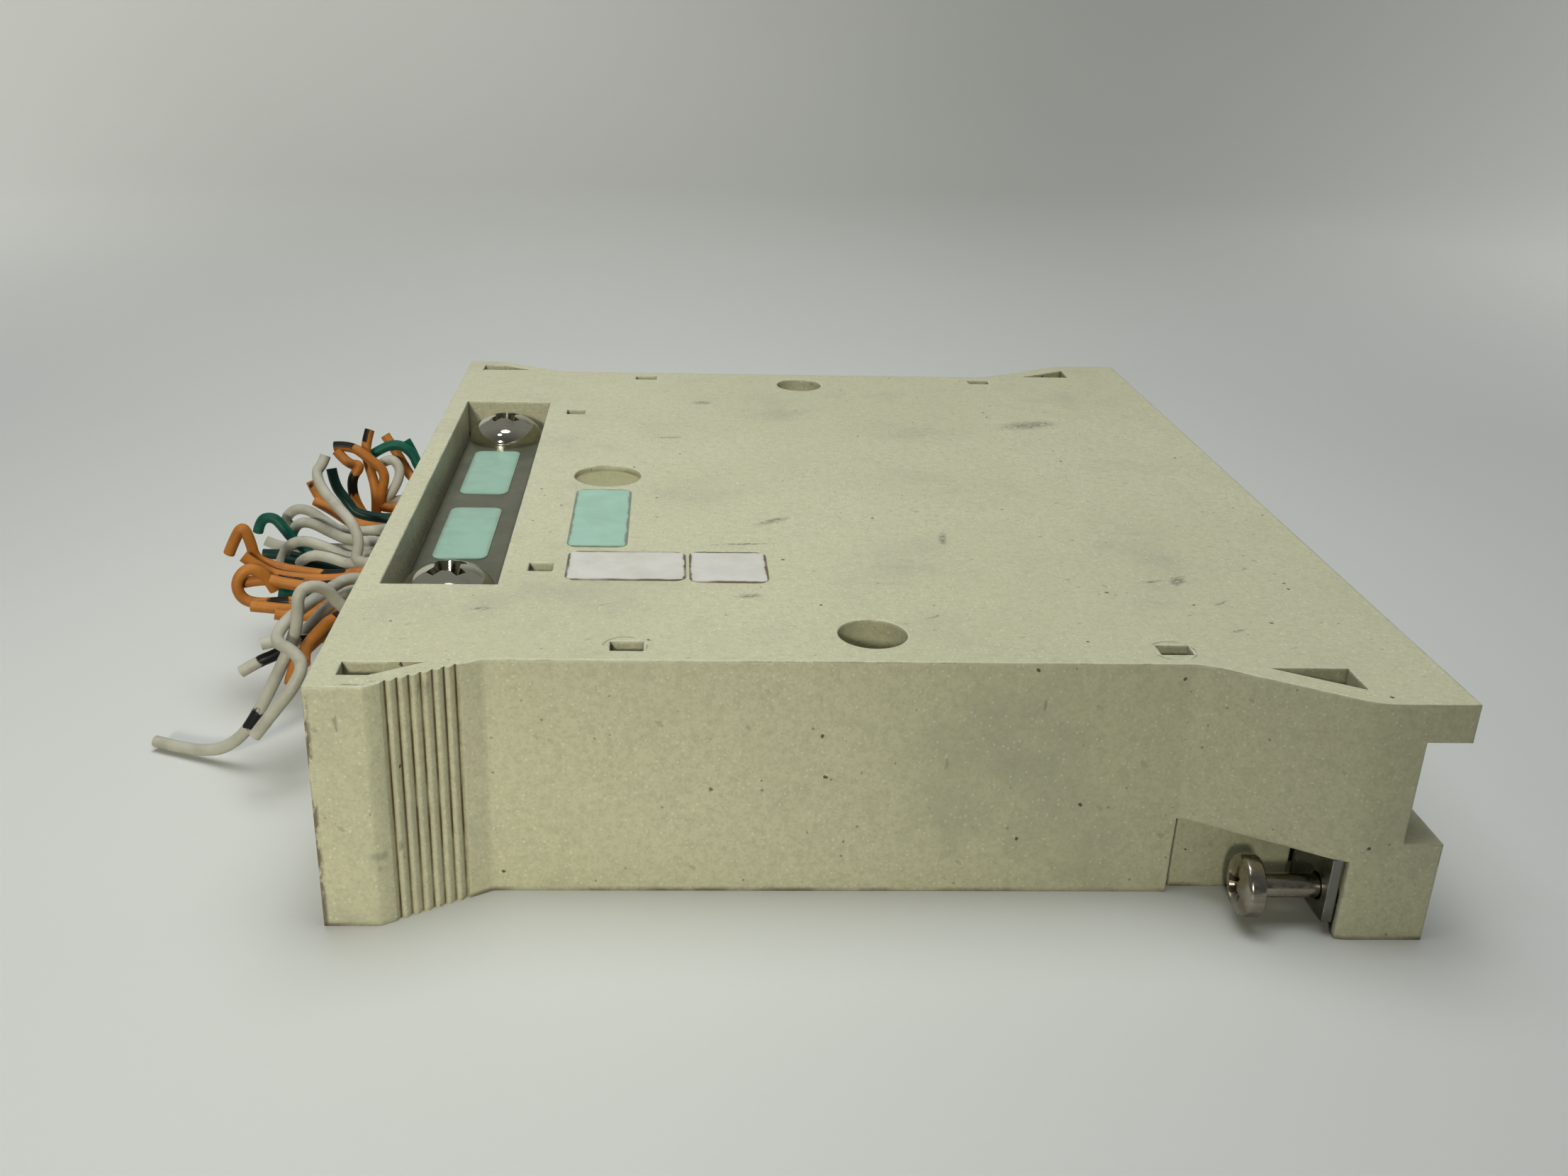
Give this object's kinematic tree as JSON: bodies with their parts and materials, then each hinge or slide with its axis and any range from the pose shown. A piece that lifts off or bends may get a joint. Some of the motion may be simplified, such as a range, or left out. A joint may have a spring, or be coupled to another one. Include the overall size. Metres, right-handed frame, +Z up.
{
  "type": "plug-in screw terminal block",
  "caption": "Flat ivory plug-in terminal block with flared ribbed grips, a strain-relief bar in a window, cut-off wires and captive mounting screws at the plug end.",
  "frame": {"origin": "under the middle of the block, on the surface that it lies on", "axes": "+X from the wire end to the plug end, +Y across the block, +Z up from its broad underside"},
  "size_m": [0.1571, 0.1464, 0.0301],
  "materials": {
    "ivory_plastic": "fine moulded texture",
    "board_green": "solder mask",
    "terminal_plastic": "moulded",
    "connector_plastic": "moulded",
    "bar_grey": "satin",
    "bright_nickel": "polished",
    "zinc_steel": "zinc plated",
    "worn_steel": "worn, with some rust",
    "brass": "turned",
    "mint_paper": "coated",
    "white_paper": "coated, soiled",
    "white_insulation": "soft vinyl",
    "orange_insulation": "soft vinyl",
    "green_insulation": "soft vinyl"
  },
  "bodies": {
    "tray": {"tray": "ivory_plastic", "circuit_board": "board_green", "terminal_strip": "terminal_plastic", "clamp_plates": "zinc_steel", "terminal_screws": "zinc_steel", "rear_connector": "connector_plastic", "clamp_inserts": "brass", "screw_bracket_near": "zinc_steel", "screw_bracket_far": "zinc_steel", "board_screws": "zinc_steel", "bracket_screws": "zinc_steel", "connector_screws": "zinc_steel", "white_wire_tail": "white_insulation", "white_wire_short": "white_insulation", "white_wire_bent": "white_insulation", "white_wire_stub": "white_insulation", "orange_wire_bent": "orange_insulation", "orange_wire_hook": "orange_insulation", "orange_pair_low": "orange_insulation", "orange_pair_loop": "orange_insulation", "white_pair_upright": "white_insulation", "white_pair_curl": "white_insulation", "green_pair_loop": "green_insulation", "white_pair_arch": "white_insulation", "orange_pair_far": "orange_insulation", "green_pair_far": "green_insulation"},
    "cover": {"cover": "ivory_plastic", "cover_sticker_mint": "mint_paper", "cover_sticker_wide": "white_paper", "cover_sticker_square": "white_paper"},
    "clamp": {"strain_relief_bar": "bar_grey", "clamp_screw_near": "bright_nickel", "clamp_screw_far": "bright_nickel", "bar_sticker_far": "mint_paper", "bar_sticker_near": "mint_paper"},
    "mounting_screw_near": {"mounting_screw_near": "worn_steel"},
    "mounting_screw_far": {"mounting_screw_far": "worn_steel"}
  },
  "joints": [
    {"name": "cover_lift", "type": "slide", "parent": "tray", "child": "cover", "axis": [0, 0, 1], "range_m": [0, 0.045]},
    {"name": "clamp_open", "type": "slide", "parent": "tray", "child": "clamp", "axis": [0, 0, 1], "range_m": [0, 0.003]},
    {"name": "screw_travel_near", "type": "slide", "parent": "tray", "child": "mounting_screw_near", "axis": [1, 0, 0], "range_m": [-0.0006, 0.0068]},
    {"name": "screw_travel_far", "type": "slide", "parent": "tray", "child": "mounting_screw_far", "axis": [1, 0, 0], "range_m": [-0.0006, 0.0068]}
  ]
}
